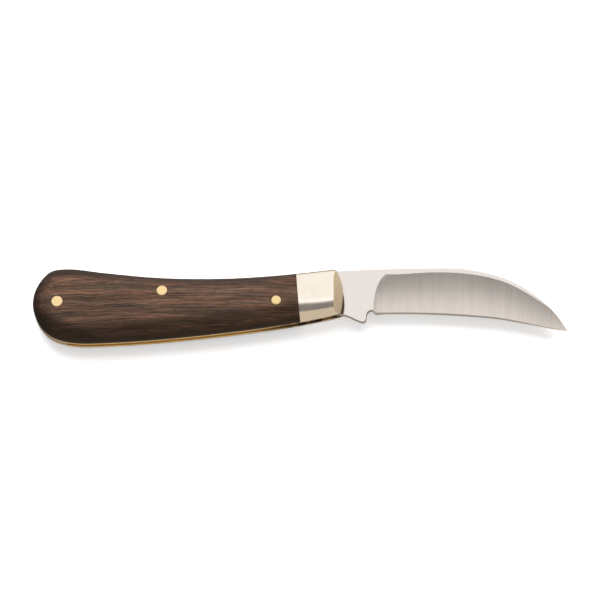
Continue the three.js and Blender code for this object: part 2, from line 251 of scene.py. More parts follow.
def flat(points, z):
    """Points in the plane at height z."""
    return [(x, y, z) for x, y in points]


def loft(name, rings):
    """Closes a stack of rings of equal length: walls between them and a cap on each end."""
    count = len(rings[0])
    faces = []
    for ring in range(len(rings) - 1):
        for i in range(count):
            a, b = ring * count + i, ring * count + (i + 1) % count
            faces.append((a, b, b + count, a + count))
    last = (len(rings) - 1) * count
    faces.append(tuple(reversed(range(count))))
    faces.append(tuple(range(last, last + count)))
    return new_object(name, [p for ring in rings for p in ring], faces)


def inset(points, distance):
    """A closed outline drawn in by a small distance, square to itself. Anticlockwise outlines only."""
    before = np.roll(points, 1, axis=0)
    after = np.roll(points, -1, axis=0)
    ahead = after - before
    normal = np.column_stack([-ahead[:, 1], ahead[:, 0]])
    normal /= np.maximum(np.linalg.norm(normal, axis=1, keepdims=True), 1e-9)
    return points + normal * distance


def plate(name, outline, low, high, broken=EDGE_BREAK):
    """A flat plate with its edges broken by a small chamfer."""
    drawn_in = inset(outline, broken)
    rings = [flat(drawn_in, low), flat(outline, low + broken)]
    rings += [flat(outline, high - broken), flat(drawn_in, high)]
    return loft(name, rings)


def bar(name, x, y, radius, low, high):
    """An upright round bar."""
    ring = circle(x, y, radius)
    return loft(name, [flat(ring, low), flat(ring, high)])


def cut(piece, tool):
    """Takes the tool's shape away from the piece. The tool is used up."""
    modifier = piece.modifiers.new("cut", "BOOLEAN")
    modifier.operation = "DIFFERENCE"
    modifier.solver = "MANIFOLD"
    modifier.object = tool
    graph = bpy.context.evaluated_depsgraph_get()
    made = bpy.data.meshes.new_from_object(piece.evaluated_get(graph))
    piece.modifiers.clear()
    piece.data = made
    bpy.data.objects.remove(tool)


def drill(piece, pins, gap=PIN_GAP):
    """Holes for pins right through a piece, a little wider than the pins are."""
    for x, y, radius in map(pin_circle, pins):
        cut(piece, bar("drill", x, y, radius + gap, -DRILL_REACH, DRILL_REACH))


def mirrored(piece, name):
    """A copy on the left side of the knife."""
    copy = bpy.data.objects.new(name, piece.data.copy())
    copy.data.transform(Matrix.Scale(-1, 4, (0, 0, 1)))
    copy.data.flip_normals()
    bpy.context.scene.collection.objects.link(copy)
    return copy


def shade(piece, crease_deg):
    """Smooth shading, with the edges sharper than the angle kept crisp."""
    mesh = bmesh.new()
    mesh.from_mesh(piece.data)
    bmesh.ops.remove_doubles(mesh, verts=mesh.verts, dist=1e-5)
    bmesh.ops.dissolve_degenerate(mesh, edges=mesh.edges, dist=1e-6)
    bmesh.ops.recalc_face_normals(mesh, faces=mesh.faces)
    mesh.to_mesh(piece.data)
    mesh.free()
    piece.data.shade_smooth()
    piece.data.set_sharp_from_angle(angle=math.radians(crease_deg))


TO_FRAME = Matrix.Translation(PIVOT) @ Matrix.Scale(MM, 4)


def settle(piece, node, body, slot, *materials):
    """Puts a finished piece into the frame, in place of its CAD node."""
    piece.data.transform(TO_FRAME)
    piece.data.materials.clear()
    for material in materials:
        piece.data.materials.append(material)
    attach(piece, body)
    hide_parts(node)


def settle_both_sides(part, piece, slot, right_materials, left_materials):
    """Puts the right side's piece and its mirror image into the frame."""
    piece.name = f"right_{part}_body"
    left_piece = mirrored(piece, f"left_{part}_body")
    settle(piece, f"right_{part}", "handle", slot, *right_materials)
    settle(left_piece, f"left_{part}", "handle", slot, *left_materials)


# ---- Node material helpers ---------------------------------------------------------------------


class Nodes:
    """Builds one node material, with short names for the nodes that the materials here share."""

    def __init__(self, name):
        self.material = bpy.data.materials.new(name)
        self.material.use_nodes = True
        self.tree = self.material.node_tree
        self.shader = self.tree.nodes["Principled BSDF"]
        coordinates = self.add("ShaderNodeTexCoord")
        scale = self.add("ShaderNodeVectorMath", operation="SCALE")
        self.link(coordinates.outputs["Object"], scale.inputs[0])
        scale.inputs["Scale"].default_value = 1 / MM
        self.millimetres = scale.outputs[0]

    def add(self, kind, **settings):
        node = self.tree.nodes.new(kind)
        for name, value in settings.items():
            setattr(node, name, value)
        return node

    def link(self, source, target):
        self.tree.links.new(source, target)

    def feed(self, socket, value):
        """Sets a socket to a number, a colour or another node's output."""
        if isinstance(value, bpy.types.NodeSocket):
            self.link(value, socket)
        else:
            socket.default_value = value

    def stretched(self, x, y, z, source=None):
        """Coordinates in millimetres, multiplied on each axis: a bigger factor makes a finer pattern."""
        node = self.add("ShaderNodeVectorMath", operation="MULTIPLY")
        self.link(source or self.millimetres, node.inputs[0])
        node.inputs[1].default_value = (x, y, z)
        return node.outputs[0]

    def noise(self, vector, scale=1.0, detail=3.0, roughness=0.5, distortion=0.0):
        node = self.add("ShaderNodeTexNoise")
        self.link(vector, node.inputs["Vector"])
        node.inputs["Scale"].default_value = scale
        node.inputs["Detail"].default_value = detail
        node.inputs["Roughness"].default_value = roughness
        node.inputs["Distortion"].default_value = distortion
        return node.outputs["Fac"]

    def ramp(self, value, *stops):
        """Grey or coloured steps of a value: each stop is a position and a grey or a colour."""
        node = self.add("ShaderNodeValToRGB")
        elements = node.color_ramp.elements
        while len(elements) < len(stops):
            elements.new(0.5)
        for element, (position, colour) in zip(elements, stops):
            grey = isinstance(colour, (int, float))
            element.position = position
            element.color = (colour, colour, colour, 1) if grey else (*colour, 1)
        self.link(value, node.inputs["Fac"])
        return node.outputs["Color"]

    def maths(self, operation, *values):
        node = self.add("ShaderNodeMath", operation=operation)
        for socket, value in zip(node.inputs, values):
            self.feed(socket, value)
        return node.outputs[0]

    def between(self, value, low, high):
        """A 0 to 1 value as a number between low and high."""
        node = self.add("ShaderNodeMapRange")
        self.link(value, node.inputs["Value"])
        node.inputs["To Min"].default_value = low
        node.inputs["To Max"].default_value = high
        return node.outputs["Result"]

    def smooth_step(self, value, start, end):
        """0 before "start", 1 past "end" and a soft change between them."""
        node = self.add("ShaderNodeMapRange", interpolation_type="SMOOTHSTEP")
        self.link(value, node.inputs["Value"])
        node.inputs["From Min"].default_value = start
        node.inputs["From Max"].default_value = end
        return node.outputs["Result"]

    def mix(self, kind, factor, first, second):
        node = self.add("ShaderNodeMix", data_type="RGBA", blend_type=kind)
        self.feed(node.inputs["Factor"], factor)
        self.feed(node.inputs["A"], first)
        self.feed(node.inputs["B"], second)
        return node.outputs["Result"]

    def split(self, vector):
        node = self.add("ShaderNodeSeparateXYZ")
        self.link(vector, node.inputs[0])
        return node.outputs

    def joined(self, x, y, z):
        node = self.add("ShaderNodeCombineXYZ")
        for socket, value in zip(node.inputs, (x, y, z)):
            self.feed(socket, value)
        return node.outputs[0]

    def bump(self, height, distance_mm, strength=1.0, below=None):
        """A shaded relief that is distance_mm deep, laid over the one below it."""
        node = self.add("ShaderNodeBump")
        node.inputs["Strength"].default_value = strength
        node.inputs["Distance"].default_value = distance_mm * MM
        self.link(height, node.inputs["Height"])
        if below is not None:
            self.link(below, node.inputs["Normal"])
        return node.outputs["Normal"]

    def finish(self, colour, roughness, normal=None, **constants):
        """Wires up the shader. The constants are its other sockets, with _ for a space."""
        self.feed(self.shader.inputs["Base Color"], colour)
        self.feed(self.shader.inputs["Roughness"], roughness)
        if normal is not None:
            self.link(normal, self.shader.inputs["Normal"])
        for name, value in constants.items():
            self.shader.inputs[name.replace("_", " ")].default_value = value
        return self.material


# ---- Materials ---------------------------------------------------------------------------------


def rgb(red, green, blue):
    """A colour given as it appears on screen, 0 to 255, as the linear colour that nodes use."""

    def linear(value):
        value /= 255
        return value / 12.92 if value <= 0.04045 else ((value + 0.055) / 1.055) ** 2.4

    return (linear(red), linear(green), linear(blue))


def wood_grain(n, shift):
    """Coordinates in which the grain runs straight: it wanders along the handle, in places more."""
    moved = n.add("ShaderNodeVectorMath", operation="ADD")
    n.link(n.millimetres, moved.inputs[0])
    moved.inputs[1].default_value = shift
    x, y, z = n.split(moved.outputs[0])
    slow = n.noise(n.joined(x, n.maths("MULTIPLY", y, 1.2), z), scale=0.03, detail=1.0)
    quick = n.noise(n.joined(x, n.maths("MULTIPLY", y, 1.6), z), scale=0.11, detail=2.0)
    figured = n.ramp(n.noise(n.joined(x, y, z), scale=0.045, detail=1.0), (0.45, 0.15), (0.62, 1.0))
    ripple = n.maths("MULTIPLY", figured, n.between(quick, -0.9, 0.9))
    across = n.maths("ADD", y, n.maths("ADD", n.between(slow, -3.0, 3.0), ripple))
    return n.joined(x, across, z)


def wood_colour(n, grain):
    """Streaks of red brown and grey brown in slow bands."""
    bands = n.noise(n.stretched(0.022, 0.45, 0.4, grain), detail=2, roughness=0.5)
    streaks = n.noise(n.stretched(0.06, 3.1, 2.0, grain), detail=5, roughness=0.68)
    tone = n.maths("ADD", n.maths("MULTIPLY", bands, 0.3), n.maths("MULTIPLY", streaks, 0.7))
    red_brown = n.ramp(
        tone,
        (0.38, rgb(30, 18, 13)),
        (0.46, rgb(66, 43, 32)),
        (0.53, rgb(98, 66, 51)),
        (0.62, rgb(131, 91, 71)),
    )
    grey_brown = n.ramp(
        tone,
        (0.38, rgb(28, 20, 15)),
        (0.5, rgb(72, 55, 45)),
        (0.62, rgb(106, 83, 68)),
    )
    greyness = n.ramp(n.noise(n.stretched(0.03, 0.9, 0.6, grain), detail=3), (0.42, 0.0), (0.6, 1.0))
    return n.mix("MIX", greyness, red_brown, grey_brown)


def painted_wood_shade(n, colour):
    """Painted shade: a darker brown on the rounded edges, on the butt's upper corner and on the side
    towards the cutting edge.

    It is widest round the butt, and it goes by the way each surface faces. Whether it is stain or a
    reflection on the real handle isn't known.
    """
    shade_start, shade_full = PIVOT.x / MM - 66, PIVOT.x / MM - 80
    normal = n.split(n.add("ShaderNodeNewGeometry").outputs["Normal"])
    butt = n.smooth_step(n.split(n.millimetres)["X"], shade_start, shade_full)
    # Painted shade on the rounded edges, wider round the butt.
    facing = n.maths("SUBTRACT", n.maths("ABSOLUTE", normal["Z"]), n.maths("MULTIPLY", butt, 0.1))
    rim = n.ramp(facing, (0.5, (0.14, 0.11, 0.09)), (0.78, (0.42, 0.36, 0.32)), (0.9, (1.0, 1.0, 1.0)))
    colour = n.mix("MULTIPLY", 1.0, colour, rim)
    # Painted shade on the butt's upper corner.
    upper_butt_shade = n.maths("MULTIPLY", butt, n.smooth_step(normal["Y"], 0.25, 0.6))
    colour = n.mix("MULTIPLY", upper_butt_shade, colour, (0.3, 0.27, 0.25, 1))
    # Painted shade on the side towards the cutting edge.
    belly = n.smooth_step(normal["Y"], -0.01, -0.2)
    return n.mix("MULTIPLY", belly, colour, (0.36, 0.33, 0.30, 1))


def wood_material(name, shift):
    """Dark close-grained hardwood: streaks, fine fibres and open pores, all along the handle."""
    n = Nodes(name)
    grain = wood_grain(n, shift)
    fibres = n.noise(n.stretched(0.2, 7.5, 4.0, grain), detail=3, roughness=0.7)
    pores = n.noise(n.stretched(0.35, 7.5, 4.0, grain), detail=2, roughness=0.5)
    colour = wood_colour(n, grain)
    colour = n.mix("MULTIPLY", 0.9, colour, n.ramp(fibres, (0.34, 0.3), (0.64, 1.3)))
    colour = n.mix("MULTIPLY", 0.85, colour, n.ramp(pores, (0.34, 0.12), (0.41, 1.0)))
    pore_floor = n.ramp(pores, (0.34, 0.0), (0.41, 1.0))
    relief = n.bump(pore_floor, 0.03, 0.7, n.bump(fibres, 0.02, 0.6))
    return n.finish(
        painted_wood_shade(n, colour),
        n.between(fibres, 0.22, 0.5),
        relief,
        IOR=1.32,
        Specular_IOR_Level=0.85,
        Specular_Tint=(1.0, 0.82, 0.66, 1),
    )


def liner_material():
    """Sheet brass: long faint scratches, a dull skin and painted shade in patches near the blade."""
    n = Nodes("liner_brass")
    cloud = n.noise(n.stretched(0.5, 0.5, 0.5), detail=3)
    scratch = n.noise(n.stretched(1.2, 9.0, 9.0), detail=3, roughness=0.6)
    tone = n.mix("MULTIPLY", 0.35, (0.84, 0.56, 0.22, 1), n.ramp(cloud, (0.35, 0.72), (0.6, 1.0)))
    # Painted shade: dark patches towards the front end for the shadow in the slot between the liners,
    # wholly dark from 5 mm in front of the pivot.
    x = n.split(n.millimetres)["X"]
    pivot_x = PIVOT.x / MM
    towards_front = n.smooth_step(x, pivot_x - 25, pivot_x - 5)
    patches = n.noise(n.stretched(0.28, 0.28, 0.28), detail=2)
    patchy = n.maths("MULTIPLY", towards_front, n.ramp(patches, (0.4, 0.45), (0.54, 1.0)))
    slot_shade = n.maths("MAXIMUM", patchy, n.smooth_step(x, pivot_x, pivot_x + 5))
    tone = n.mix("MIX", slot_shade, tone, (0.055, 0.028, 0.012, 1))
    return n.finish(tone, n.between(scratch, 0.34, 0.48), n.bump(scratch, 0.004, 0.4), Metallic=0.7)


def pin_material():
    """The faced-off end of a brass pin: fine crossing file marks and a few darker spots."""
    n = Nodes("pin_brass")
    grain = n.noise(n.stretched(2.6, 2.6, 0.4), detail=4, roughness=0.7)
    tone = n.mix("MULTIPLY", 0.5, (0.97, 0.73, 0.38, 1), n.ramp(grain, (0.38, 0.62), (0.6, 1.0)))
    return n.finish(tone, n.between(grain, 0.2, 0.4), n.bump(grain, 0.02, 0.6), Metallic=1.0)


def bolster_material():
    """Polished nickel silver: buffing lines run round the handle over a faint waviness."""
    n = Nodes("polished_nickel_silver")
    lines = n.noise(n.stretched(5.0, 0.3, 0.3), detail=4, roughness=0.65)
    cloud = n.noise(n.stretched(0.3, 0.3, 0.3), detail=2)
    wave = n.noise(n.stretched(0.22, 0.35, 0.3), detail=1)
    tone = n.mix("MULTIPLY", 0.25, (0.89, 0.815, 0.715, 1), n.ramp(lines, (0.35, 0.8), (0.62, 1.0)))
    tone = n.mix("MULTIPLY", 0.15, tone, n.ramp(cloud, (0.35, 0.8), (0.6, 1.0)))
    relief = n.bump(lines, 0.004, 0.4, n.bump(wave, 0.06, 0.6))
    return n.finish(tone, n.between(lines, 0.12, 0.2), relief, Metallic=1.0)


def facet_material():
    """The filed front facet of a bolster: duller, with marks across the blade's plane."""
    n = Nodes("filed_nickel_silver")
    lines = n.noise(n.stretched(6.0, 0.6, 6.0), detail=4, roughness=0.65)
    tone = n.mix("MULTIPLY", 0.35, (0.98, 0.80, 0.55, 1), n.ramp(lines, (0.35, 0.72), (0.62, 1.0)))
    return n.finish(tone, n.between(lines, 0.42, 0.55), n.bump(lines, 0.008, 0.5), Metallic=0.8)


def flat_steel_material():
    """The satin flats of the blade: faint marks square to the spine."""
    n = Nodes("satin_steel_flat")
    lines = n.noise(n.stretched(3.5, 0.12, 0.4), detail=4, roughness=0.6)
    tone = n.mix("MULTIPLY", 0.1, (0.77, 0.72, 0.69, 1), n.ramp(lines, (0.35, 0.75), (0.6, 1.0)))
    return n.finish(tone, n.between(lines, 0.24, 0.32), n.bump(lines, 0.002, 0.3), Metallic=1.0)


SHADING_LEAN = math.tan(math.radians(4.0))


def ground_steel_material():
    """The hollow grind: fine wheel marks from spine to edge."""
    n = Nodes("ground_steel_hollow")
    fine = n.noise(n.stretched(7.0, 0.05, 0.2), detail=4, roughness=0.75)
    cross = n.noise(n.stretched(0.15, 5.0, 0.2), detail=2, roughness=0.6)
    broad = n.noise(n.stretched(0.5, 0.03, 0.2), detail=3, roughness=0.55)
    tone = n.mix("MULTIPLY", 0.45, (0.79, 0.73, 0.68, 1), n.ramp(fine, (0.34, 0.68), (0.62, 1.0)))
    tone = n.mix("MULTIPLY", 0.12, tone, n.ramp(cross, (0.36, 0.7), (0.6, 1.0)))
    tone = n.mix("MULTIPLY", 0.2, tone, n.ramp(broad, (0.35, 0.75), (0.6, 1.0)))
    # The shading leans further towards the edge than the surface does, so the hollow's dark band is as
    # wide as on a blade that is thicker at the spine.
    leaning = n.bump(n.split(n.millimetres)["Y"], SHADING_LEAN)
    relief = n.bump(fine, 0.003, 0.35, leaning)
    return n.finish(tone, n.between(fine, 0.3, 0.4), relief, Metallic=1.0)


def dark_steel_material():
    """The edges of the blade and the spring, left from the blank: duller than the flats."""
    n = Nodes("blank_edge_steel")
    marks = n.noise(n.stretched(0.6, 2.5, 4.0), detail=4, roughness=0.6)
    tone = n.mix("MULTIPLY", 0.4, (0.36, 0.335, 0.31, 1), n.ramp(marks, (0.35, 0.65), (0.62, 1.0)))
    return n.finish(tone, n.between(marks, 0.3, 0.45), n.bump(marks, 0.006, 0.5), Metallic=1.0)


# ---- Scales and bolsters -----------------------------------------------------------------------


def scale_piece():
    """The right scale: a pillow drawn in from the outline to a narrow flat crown."""
    front = [(FRONT_OVERRUN, FRONT_BOTTOM_Y), (FRONT_OVERRUN, FRONT_TOP_Y)]
    outline = np.vstack([handle_outline(), front])
    inward = midline(outline[:, 0]) - outline
    inward /= np.linalg.norm(inward, axis=1, keepdims=True)
    rings = []
    for turn in np.radians(np.linspace(0, 90, 25)):
        ring = outline + inward * DOME_ROUNDING * (1 - math.cos(turn))
        rings.append(flat(ring, LINER_OUTER + DOME_RISE * math.sin(turn)))
    piece = loft("scale", rings)

    # The slanted end where the scale meets its bolster.
    mesh = bmesh.new()
    mesh.from_mesh(piece.data)
    slant = JOINT["slant"]
    result = bmesh.ops.bisect_plane(
        mesh,
        geom=[*mesh.verts, *mesh.edges, *mesh.faces],
        plane_co=(float(joint_x(JOINT["y"], -1)), JOINT["y"], 0),
        plane_no=(math.cos(slant), math.sin(slant), 0),
        clear_outer=True,
    )
    rim = [e for e in result["geom_cut"] if isinstance(e, bmesh.types.BMEdge)]
    bmesh.ops.contextual_create(mesh, geom=rim)
    mesh.to_mesh(piece.data)
    mesh.free()
    drill(piece, SCALE_PINS)
    shade(piece, crease_deg=25)
    return piece


def across_bolster():
    """For each rib across a bolster: its side, and its angle round the curve over that edge."""
    quarter = np.radians(np.linspace(0, 90, 40))
    return [("bottom", turn) for turn in quarter] + [("top", turn) for turn in quarter[::-1]]


def bolster_rib(side, turn):
    """Points of one rib: forward over the dome, round the crease and down the front to the liner."""

    def bend(x):
        """The curve is an ellipse, but along the lower edge it turns squarer towards the front."""
        forward = (x - JOINT["x"]) / (HANDLE_BOTTOM[-1][0] - JOINT["x"])
        power = 2 + (FRONT_EDGE_POWER - 2) * min(max(forward, 0), 1)
        return 1.0 if side == "top" else 2 / power

    def y_at(x):
        inset_by = DOME_ROUNDING * (1 - max(math.cos(turn), 0) ** bend(x))
        if side == "top":
            return float(top_y(x)) - inset_by
        return float(bottom_y(x)) + inset_by

    def z_at(x):
        return LINER_OUTER + DOME_RISE * math.sin(turn) ** bend(x)

    def front(y, height):
        return min(float(front_arc_x(y)), float(facet_x(y, height)))

    # Where a rib starts and ends depends on its own y and z there, so both are found by repeated steps.
    start_tries, crease_tries = 4, 12
    start = JOINT["x"]
    for _ in range(start_tries):
        start = float(joint_x(y_at(start), 1))
    crease = FRONT_ARC["apex_x"]
    for _ in range(crease_tries):
        crease = front(y_at(crease), z_at(crease))
    y, z = y_at(crease), z_at(crease)

    dome_points, slope_points, wall_points = 14, 10, 4
    dome_x = np.linspace(start, crease - CREASE_ROUNDING, dome_points)
    dome = [(x, y_at(x), z_at(x)) for x in dome_x]
    rounding = min(CREASE_ROUNDING, (z - LINER_OUTER) / 3)
    before = np.array(dome[-1])
    corner = np.array((crease, y, z))
    below = np.array((front(y, z - rounding), y, z - rounding))
    rounded = []
    for t in (0.25, 0.5, 0.75):
        rounded.append(tuple((1 - t) ** 2 * before + 2 * t * (1 - t) * corner + t**2 * below))

    facet_reach = float(facet_x(y, LINER_OUTER)) - float(front_arc_x(y))
    wall_top = LINER_OUTER + max(facet_reach * math.tan(FACET["slope"]), 0)
    wall_top = min(wall_top, z - rounding)
    slope_heights = np.linspace(z - rounding, wall_top, slope_points)
    wall_heights = np.linspace(wall_top, LINER_OUTER, wall_points)[1:]
    face = [(front(y, height), y, height) for height in (*slope_heights, *wall_heights)]
    return [*dome, *rounded, *face]


def bolster_piece():
    """The right bolster: ribs side by side, closed by a rear end and a flat foot on the liner."""
    ribs = [bolster_rib(*rib) for rib in across_bolster()]
    count = len(ribs[0])
    vertices = [p for rib in ribs for p in rib]
    faces = []
    for r in range(len(ribs) - 1):
        for i in range(count - 1):
            a = r * count + i
            faces.append((a, a + 1, a + 1 + count, a + count))
    rear = [r * count for r in range(len(ribs))]
    foot = [r * count + count - 1 for r in range(len(ribs))]
    lower_edge = list(range(count))
    upper_edge = list(range((len(ribs) - 1) * count, len(ribs) * count))
    faces.append(tuple(rear))
    faces.append(tuple(lower_edge[:-1] + foot[:-1] + upper_edge[::-1]))
    piece = new_object("bolster", vertices, faces)
    shade(piece, crease_deg=24)
    return piece


# ---- Liners and spring -------------------------------------------------------------------------


def front_edge():
    """The rounded front of a liner, from the bottom of the handle to the top."""
    spare, count = 1.0, 200
    ys = np.linspace(FRONT_BOTTOM_Y - spare, FRONT_TOP_Y + spare, count)
    xs = front_arc_x(ys, LINER_FRONT_ARC)
    inside = (ys > np.array([bottom_y(x) for x in xs])) & (ys < np.array([top_y(x) for x in xs]))
    return np.column_stack([xs[inside], ys[inside]])


def liner_outline():
    """The handle's outline, ended by the liner's rounded front."""
    front = front_edge()
    outline = handle_outline()
    top_x, bottom_x = front[-1][0], front[0][0]
    past_top = (outline[:, 1] > 0) & (outline[:, 0] > top_x)
    past_bottom = (outline[:, 1] < 0) & (outline[:, 0] > bottom_x)
    return np.vstack([outline[~(past_top | past_bottom)], spaced(front, HANDLE_STEP)])


def liner_piece():
    """The right liner: sheet brass, drilled for its pins and the pivot."""
    piece = plate("liner", liner_outline(), SLOT_HALF, LINER_OUTER, THIN_EDGE_BREAK)
    drill(piece, [*SCALE_PINS, "pivot_pin"])
    shade(piece, crease_deg=25)
    return piece


def open_flat_y(x, distance):
    """Height at x of the line "distance" from the pivot, parallel to the tang's open flat."""
    return (distance - x * math.cos(OPEN_FLAT)) / math.sin(OPEN_FLAT)


def spring_piece():
    """The back spring: it fills the slot round the back and the butt, and its nose lies on the tang."""
    nose_front = SHOULDER_X - SPRING_CLEARANCE
    nose_rear = -3.3
    bite = TANG_FLAT + SPRING_CLEARANCE
    tail_x = -81.3
    side_play = 0.005
    half = SLOT_HALF - side_play
    outline = handle_outline()
    past_nose = (outline[:, 1] > 0) & (outline[:, 0] > nose_front)
    past_tail = (outline[:, 1] < 0) & (outline[:, 0] > tail_x)
    back = outline[~(past_nose | past_tail)]
    inner = chain(
        (tail_x, 0.5),
        ((tail_x, 3.5), (-80, 4.6), (-77, 4.6)),
        ((-72, 4.6), (-66, 4), (-59, 3.4)),
        ((-56, 3.1), (-55.5, -0.5), (-51, -0.5)),
        ((-46.5, -0.5), (-46, 3.1), (-43, 3.2)),
        ((-38, 3.4), (-32, 3.7), (-22, 4.9)),
        ((-17, 5.5), (-13, 5.65), (-10, 5.5)),
        ((-6.5, 5.3), (-5.5, 3.95), (nose_rear, open_flat_y(nose_rear, bite))),
    )
    belly = HANDLE_BUTT[HANDLE_BUTT[:, 1] < -5]
    tail = [(tail_x, float(np.interp(tail_x, belly[:, 0], belly[:, 1])))]
    nose = [(nose_front, open_flat_y(nose_front, bite)), (nose_front, float(top_y(nose_front)))]
    ring = np.vstack([back, tail, spaced(inner, HANDLE_STEP), nose])
    piece = plate("back_spring_bar", ring, -half, half, THIN_EDGE_BREAK)
    drill(piece, THROUGH_PINS)
    shade(piece, crease_deg=25)
    return piece


# ---- Pins --------------------------------------------------------------------------------------


def pin_piece(name, node, both_ends):
    """A pin with its ends faced off to the handle's surface and left a hair proud and rounded."""
    x, y, radius = pin_circle(node)
    edge_drop = 0.03
    butt_x = -80

    def end(sign):
        rings = []
        for share in (0.0, 0.25, 0.5, 0.75, 0.88, 0.96, 1.0):
            cap = PIN_PROUD * (1 - share**4) - edge_drop * (share == 1.0)
            ring = []
            for px, py in circle(x, y, radius * share):
                surface = CROWN if x < butt_x else dome_height(px, py)
                ring.append((px, py, sign * (surface + cap)))
            rings.append(ring)
        return rings

    if both_ends:
        foot = end(-1)
    else:
        foot = [flat(circle(x, y, share * radius), SLOT_HALF) for share in (0, 1)]
    piece = loft(name, [*foot, *end(1)[::-1]])
    shade(piece, crease_deg=35)
    return piece


def pivot_piece():
    """The pivot pin. Its joint with the bolsters is polished away, so the rod stops inside them."""
    half_length = CROWN - PIVOT_BURIED
    piece = bar("pivot_rod", *pin_circle("pivot_pin"), -half_length, half_length)
    shade(piece, crease_deg=35)
    return piece


# ---- Blade -------------------------------------------------------------------------------------

HEEL = (17.3, -4.4)
TIP = (78.4, -9.9)
EDGE = chain(HEEL, ((28.3, -3.9), (43.2, -4.6), (54.1, -5.7)), ((61, -6.4), (71.6, -9), TIP))
SPINE = chain(
    TIP,
    ((74.7, -3), (68.6, 1.9), (64.1, 4.5)),
    ((59.3, 7.3), (55.4, 8.6), (50, 9.7)),
    ((46, 10.5), (42, 10.8), (38, 10.75)),
    ((27, 10.65), (14, 10.4), (SHOULDER_X, 9.6)),
)
GRIND_TOP = chain(
    (20, 8.75),
    ((25.5, 8.4), (30, 9.35), (37, 9.35)),
    ((44.1, 9.35), (50.4, 8.7), (57, 6.6)),
    ((63.5, 4.5), (71, -1.2), (80, -7.5)),
)


def tang_corner(start, end):
    """The round corner of the tang between two of its flats, given by the flats' directions."""
    half, middle = (end - start) / 2, (end + start) / 2
    reach = (TANG_FLAT - TANG_CORNER_RADIUS) / math.cos(half)
    centre = (reach * math.cos(middle), reach * math.sin(middle))
    return arc(centre, TANG_CORNER_RADIUS, start, end, 14)


def blade_outline():
    """The edge, the spine, the tang's three flats and the kick, anticlockwise from the heel."""
    half_stop = OPEN_FLAT + FOLD / 2
    closed_flat = OPEN_FLAT + FOLD
    kick = [*bezier([(6.6, -4.66), (7.3, -4.7), (8.1, -4.95), (9, -5.35)], 6)]
    kick += [*bezier([(11.7, -6.65), (12.3, -6.95), (12.8, -7.07), (13.3, -7.05)], 6)]
    kick += [*bezier([(13.3, -7.05), (13.9, -7), (14.2, -6.4), (14.25, -5.2)], 8)]
    kick += [*bezier([(14.25, -5.2), (14.3, -3.9), (15, -3.15), (16.2, -3.1)], 12), (16.2, -3.1)]
    tang = np.vstack([
        [(SHOULDER_X, open_flat_y(SHOULDER_X, TANG_FLAT))],
        tang_corner(OPEN_FLAT, half_stop),
        tang_corner(half_stop, closed_flat),
        kick,
    ])
    return np.vstack([spaced(EDGE, BLADE_STEP)[:-1], spaced(SPINE, BLADE_STEP), tang])


def beyond(points):
    """The line as y by x, carried straight on past both ends."""
    reach = 40
    first = points[0] + (points[0] - points[3]) * reach
    last = points[-1] + (points[-1] - points[-4]) * reach
    line = np.vstack([first, points, last])
    return lambda x: np.interp(x, line[:, 0], line[:, 1])


def blade_half(x):
    """Half thickness of the blade before it is ground: it thins towards its tip."""
    along = min(max((x - TAPER["start_x"]) / TAPER["length"], 0), 1)
    return TIP_HALF + (BLADE_HALF - TIP_HALF) * (1 - along**2) ** TAPER["power"]


def taper_tool():
    """What is taken off the right face to thin the blade towards its tip."""
    top, reach, stations = 2 * BLADE_HALF, 30, 80
    rings = []
    for x in np.linspace(TAPER["start_x"], TAPER["start_x"] + TAPER["length"], stations):
        low = blade_half(x)
        rings.append([(x, -reach, low), (x, reach, low), (x, reach, top), (x, -reach, top)])
    return loft("taper", rings)


def ground_half(share, width, half):
    """Half thickness of the ground blade, "share" of the way from the edge to the grind's top.

    The wheel's round face cuts a hollow that is shallower where the ground band is narrower.
    """
    hollow = HOLLOW_DEPTH * min(width / HOLLOW_WIDTH, 1) ** 2
    if share < BEVEL_SHARE:
        return EDGE_HALF + (BEVEL_HALF - EDGE_HALF) * max(share / BEVEL_SHARE, 0)
    across = (share - BEVEL_SHARE) / (1 - BEVEL_SHARE)
    straight = BEVEL_HALF + (half - BEVEL_HALF) * across
    return straight - 4 * hollow * across * (1 - across)


def grind_tool():
    """What the grinding wheel takes off the right face, with a rounded run-in at the plunge line.

    Each ring crosses the blade. The first ones follow the curved plunge line, which starts at plunge_x
    on the edge and leans forward by plunge_lean at the grind's top; the later ones settle square. At
    shares over 1, past the grind's top, the tool climbs clear of the flat.
    """
    plunge_x, plunge_lean, settled_x, settling, length = 16.55, 3.5, 17.0, 8.0, 63.5
    edge_y, top_line_y = beyond(EDGE), beyond(GRIND_TOP)
    shares = [-0.25, 0.0, BEVEL_SHARE, *np.linspace(BEVEL_SHARE, 1, 33)[1:], 1.06, 1.12]
    runs = [*np.linspace(-0.4, PLUNGE_WIDTH, 22), *np.linspace(PLUNGE_WIDTH, length, 150)[1:]]
    rings = []
    for run in runs:
        taken = 1 - (1 - min(run / PLUNGE_WIDTH, 1)) ** 2
        surface = []
        for share in shares:
            start_x = plunge_x + plunge_lean * max(share, 0) ** 3
            x = settled_x + run + (start_x - settled_x) * math.exp(-max(run, 0) / settling)
            low, high, half = float(edge_y(x)), float(top_line_y(x)), blade_half(x)
            if share > 1:
                z = half + share - 1
            else:
                z = half - (half - ground_half(share, high - low, half)) * taken
            surface.append((x, low + (high - low) * share, z))
        lid = [(*surface[-1][:2], 2 * BLADE_HALF), (*surface[0][:2], 2 * BLADE_HALF)]
        rings.append(surface + lid)
    return loft("grind", rings)


